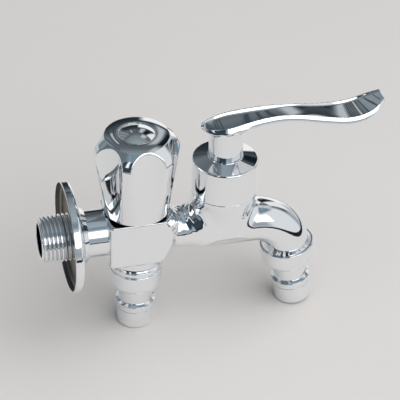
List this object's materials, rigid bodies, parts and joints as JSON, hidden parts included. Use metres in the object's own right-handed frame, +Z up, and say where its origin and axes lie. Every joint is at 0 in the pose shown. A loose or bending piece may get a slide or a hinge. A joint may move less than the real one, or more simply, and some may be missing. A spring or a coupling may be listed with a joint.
{
  "type": "double outlet tap",
  "caption": "Chromed wall tap with a fluted knob valve over a hose outlet and a lever valve feeding a curved spout with its own hose outlet.",
  "frame": {"origin": "on the inlet axis, in the plane of the wall that the flange's rim touches", "axes": "+X along the inlet axis from the wall towards the spout, +Z up, +Y away from the shown side"},
  "size_m": [0.1519, 0.0486, 0.1061],
  "materials": {
    "chromed_brass": "bright chrome plate on brass",
    "chromed_steel_sheet": "bright chrome plate on pressed steel sheet",
    "chromed_plastic": "bright chrome plate on moulded plastic",
    "chromed_cap": "bright chrome plate on moulded plastic",
    "chromed_zinc": "bright chrome plate on cast zinc",
    "plain_brass": "turned brass",
    "rubber": "smooth black rubber",
    "fibre": "red fibre",
    "ceramic": "polished white ceramic",
    "glide_plastic": "smooth white plastic",
    "spring_steel": "dark spring steel",
    "screw_steel": "zinc plated steel",
    "strainer_steel": "perforated stainless sheet"
  },
  "bodies": {
    "casting": {"main_body": "chromed_brass", "headwork_bonnet": "plain_brass", "bonnet_seal_washer": "fibre", "cartridge_body": "plain_brass", "cartridge_seal": "rubber", "fixed_disc": "ceramic", "glide_washer": "glide_plastic", "bonnet_cup": "chromed_brass", "collar_nut": "chromed_brass", "drop_union_nut": "chromed_brass", "drop_gasket": "rubber", "drop_strainer": "strainer_steel", "drop_hose_nipple": "chromed_brass", "drop_nipple_sleeve": "chromed_brass", "spout_union_nut": "chromed_brass", "spout_gasket": "rubber", "spout_strainer": "strainer_steel", "spout_hose_nipple": "chromed_brass", "spout_nipple_sleeve": "chromed_brass"},
    "flange": {"wall_flange": "chromed_steel_sheet"},
    "knob_turning": {"knob": "chromed_plastic", "knob_index_cap": "chromed_cap", "knob_screw": "screw_steel", "knob_spindle": "plain_brass", "knob_spindle_seals": "rubber", "knob_circlip": "spring_steel"},
    "carrier": {"valve_carrier": "plain_brass", "tap_washer": "rubber", "tap_washer_screw": "plain_brass"},
    "lever_turning": {"lever_handle": "chromed_zinc", "lever_grub_screw": "screw_steel", "cartridge_spindle": "plain_brass", "cartridge_spindle_seals": "rubber", "cartridge_circlip": "spring_steel", "turning_disc": "ceramic"}
  },
  "joints": [
    {"name": "knob_turn", "type": "hinge", "parent": "casting", "child": "knob_turning", "pos_m": [0.0313, 0, 0], "axis": [0, 0, 1], "range_deg": [0, 900]},
    {"name": "valve_lift", "type": "slide", "parent": "casting", "child": "carrier", "axis": [0, 0, 1], "range_m": [0, 0.0044]},
    {"name": "lever_turn", "type": "hinge", "parent": "casting", "child": "lever_turning", "pos_m": [0.0704, 0, 0], "axis": [0, 0, 1], "range_deg": [0, 90]},
    {"name": "flange_slide", "type": "slide", "parent": "casting", "child": "flange", "axis": [1, 0, 0], "range_m": [-0.008, 0.0085]}
  ],
  "couplings": [
    {"joint": "valve_lift", "follows": "knob_turn", "m_per_rad": 0.0002801}
  ]
}
